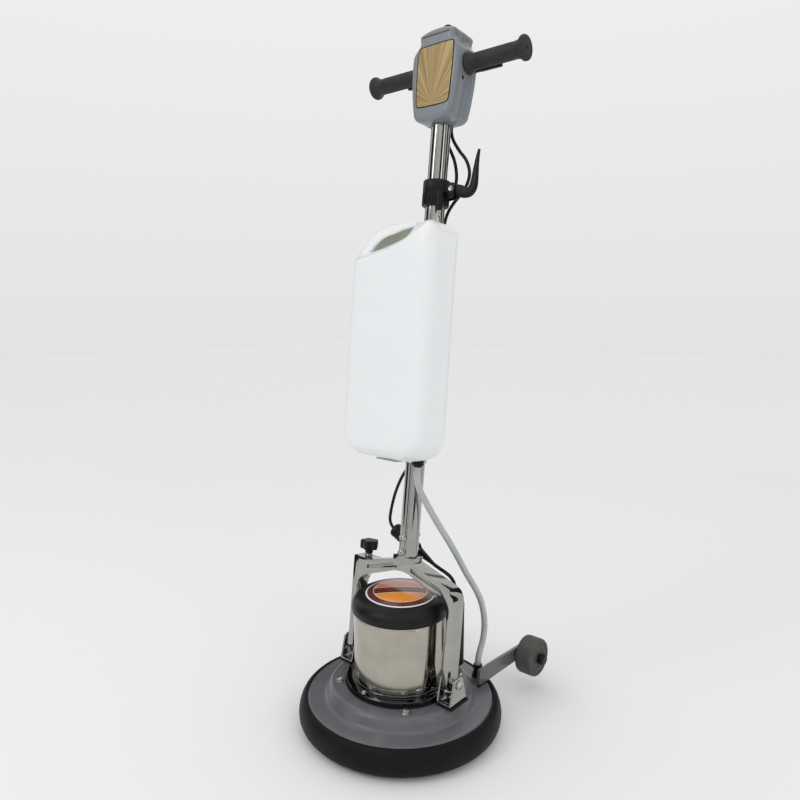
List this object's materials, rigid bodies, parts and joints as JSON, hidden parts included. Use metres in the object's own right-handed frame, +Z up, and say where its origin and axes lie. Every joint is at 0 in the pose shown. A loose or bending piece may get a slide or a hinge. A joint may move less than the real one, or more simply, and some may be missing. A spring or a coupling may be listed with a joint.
{
  "type": "floor scrubbing machine",
  "caption": "Upright single-disc floor machine: round rubber-edged head with geared motor, tilting chrome yoke and pole, solution tank, twin-grip control box and transport wheels.",
  "frame": {"origin": "centre of the flat bottom of the pad, on the floor, on the drive axis", "axes": "+Z is up along the drive axis, +X runs along the grips, +Y points back towards the operator and the transport wheels"},
  "size_m": [0.444, 0.5755, 1.4936],
  "materials": {
    "black_rubber": "satin",
    "grey_paint": "semi-gloss",
    "zinc_steel": "satin",
    "cast_alloy": "cast",
    "gear_steel": "machined",
    "bearing_steel": "polished",
    "dark_chrome": "mirror",
    "polished_steel": "polished",
    "lamination": "laminated",
    "black_plastic": "matte",
    "capacitor_can": "drawn",
    "chrome": "mirror",
    "dark_plastic": "matte",
    "pad_fibre": "open fibre",
    "wheel_rubber": "matte",
    "tank_plastic": "satin, slightly translucent",
    "clear_tube": "clear",
    "grey_plastic": "semi-gloss",
    "grip_rubber": "matte, fine ribs",
    "cord_rubber": "satin",
    "hose_silicone": "milky"
  },
  "bodies": {
    "base": {"bumper": "black_rubber", "base_plate": "grey_paint", "plate_bolts": "zinc_steel", "gasket": "black_rubber", "gearbox_housing": "cast_alloy", "ring_gear": "gear_steel", "output_bearing": "bearing_steel", "motor_flange": "dark_chrome", "flange_screws": "zinc_steel", "motor_housing": "polished_steel", "stator": "lamination", "motor_bearings": "bearing_steel", "end_bell": "cast_alloy", "motor_cap": "black_plastic", "capacitor_cover": "black_plastic", "capacitors": "capacitor_can", "cord_gland": "black_plastic", "pivot_brackets": "chrome", "bracket_pads": "black_rubber", "pivot_bolts": "zinc_steel", "wheel_arms": "grey_paint", "wheel_axle": "gear_steel", "wheel_caps": "black_plastic", "hose_nozzle": "black_plastic", "hose": "hose_silicone", "motor_cord": "cord_rubber"},
    "rotor": {"rotor_shaft": "gear_steel", "rotor_core": "lamination"},
    "planet_a": {"planet_1": "gear_steel"},
    "planet_b": {"planet_2": "gear_steel"},
    "planet_c": {"planet_3": "gear_steel"},
    "drive": {"carrier": "gear_steel", "planet_pins": "gear_steel", "drive_bolts": "zinc_steel", "pad_driver": "dark_plastic", "pad": "pad_fibre"},
    "right_wheel": {"wheel_right": "wheel_rubber"},
    "left_wheel": {"wheel_left": "wheel_rubber"},
    "handle": {"yoke": "chrome", "pole": "chrome", "pole_bolts": "zinc_steel", "tank": "tank_plastic", "tank_brackets": "zinc_steel", "valve_body": "black_plastic", "lever_clamp": "black_plastic", "wire_guide": "clear_tube", "front_shell": "grey_plastic", "rear_shell": "grey_plastic", "switch_unit": "black_plastic", "handle_tube": "zinc_steel", "grips": "grip_rubber", "motor_cable": "cord_rubber", "cable_coupler": "black_plastic", "mains_lead": "cord_rubber", "mains_plug": "black_plastic"},
    "lever": {"water_lever": "black_plastic"},
    "valve": {"valve_rod": "zinc_steel"},
    "knob": {"lock_knob": "black_plastic"},
    "button": {"safety_button": "black_rubber"},
    "switch_bar": {"switch_lever": "black_plastic"}
  },
  "joints": [
    {"name": "handle_tilt", "type": "hinge", "parent": "base", "child": "handle", "pos_m": [0, 0, 0.137], "axis": [-1, 0, 0], "range_deg": [-6, 56], "deforming": ["hose", "motor_cord"]},
    {"name": "drive_spin", "type": "hinge", "parent": "base", "child": "drive", "pos_m": [0, 0, 0.05], "axis": [0, 0, 1], "continuous": true},
    {"name": "rotor_spin", "type": "hinge", "parent": "base", "child": "rotor", "pos_m": [0, 0, 0.15], "axis": [0, 0, 1], "continuous": true},
    {"name": "planet_a_spin", "type": "hinge", "parent": "drive", "child": "planet_a", "pos_m": [0.03375, 0, 0.08], "axis": [0, 0, 1], "continuous": true},
    {"name": "planet_b_spin", "type": "hinge", "parent": "drive", "child": "planet_b", "pos_m": [-0.01687, 0.02923, 0.08], "axis": [0, 0, 1], "continuous": true},
    {"name": "planet_c_spin", "type": "hinge", "parent": "drive", "child": "planet_c", "pos_m": [-0.01688, -0.02923, 0.08], "axis": [0, 0, 1], "continuous": true},
    {"name": "right_wheel_spin", "type": "hinge", "parent": "base", "child": "right_wheel", "pos_m": [0.15175, 0.309, 0.077], "axis": [1, 0, 0], "continuous": true},
    {"name": "left_wheel_spin", "type": "hinge", "parent": "base", "child": "left_wheel", "pos_m": [-0.15175, 0.309, 0.077], "axis": [1, 0, 0], "continuous": true},
    {"name": "lever_pull", "type": "hinge", "parent": "handle", "child": "lever", "pos_m": [0.046, 0.11524, 1.14846], "axis": [0, -0.9936, 0.1132], "range_deg": [0, 14], "stiffness_Nm_per_rad": 1.2, "springref_deg": -14.32},
    {"name": "valve_lift", "type": "slide", "parent": "handle", "child": "valve", "axis": [0, 0.1132, 0.9936], "range_m": [0, 0.0055]},
    {"name": "knob_turn", "type": "hinge", "parent": "handle", "child": "knob", "pos_m": [-0.114, 0.0249, 0.35559], "axis": [0, 0.1132, 0.9936], "range_deg": [-180, 180]},
    {"name": "button_press", "type": "slide", "parent": "handle", "child": "button", "axis": [0, -0.1132, -0.9936], "range_m": [0, 0.004], "stiffness_N_per_m": 400, "springref_m": -0.003},
    {"name": "switch_squeeze", "type": "slide", "parent": "handle", "child": "switch_bar", "axis": [0, -0.9936, 0.1132], "range_m": [0, 0.004], "stiffness_N_per_m": 600, "springref_m": -0.004}
  ],
  "couplings": [
    {"joint": "rotor_spin", "follows": "drive_spin", "ratio": 9},
    {"joint": "planet_a_spin", "follows": "drive_spin", "ratio": -2.2857},
    {"joint": "planet_b_spin", "follows": "drive_spin", "ratio": -2.2857},
    {"joint": "planet_c_spin", "follows": "drive_spin", "ratio": -2.2857},
    {"joint": "valve_lift", "follows": "lever_pull", "m_per_rad": 0.022509}
  ]
}
